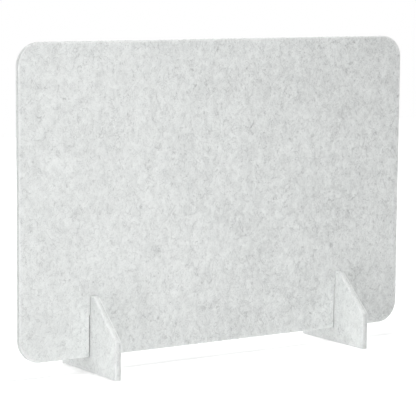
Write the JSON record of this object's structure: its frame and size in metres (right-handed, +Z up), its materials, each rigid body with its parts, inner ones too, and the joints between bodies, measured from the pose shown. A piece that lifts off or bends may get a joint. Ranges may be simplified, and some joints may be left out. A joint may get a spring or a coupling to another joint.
{
  "type": "desk divider screen",
  "caption": "Free-standing desk screen: a rounded panel of light grey marbled felt board, slotted crosswise into feet cut from the same board.",
  "frame": {"origin": "on the desk, midway between the feet and in the panel's middle plane", "axes": "+X along the panel's width, -Y towards the front, +Z up"},
  "size_m": [0.6, 0.136, 0.42],
  "materials": {
    "felt": "matte"
  },
  "bodies": {
    "panel": {"panel": "felt"},
    "foot_left": {"foot_left": "felt"},
    "foot_right": {"foot_right": "felt"}
  },
  "joints": [
    {"name": "foot_left_slide", "type": "slide", "parent": "panel", "child": "foot_left", "axis": [0, 0, -1], "range_m": [0, 0.08]},
    {"name": "foot_right_slide", "type": "slide", "parent": "panel", "child": "foot_right", "axis": [0, 0, -1], "range_m": [0, 0.08]}
  ]
}
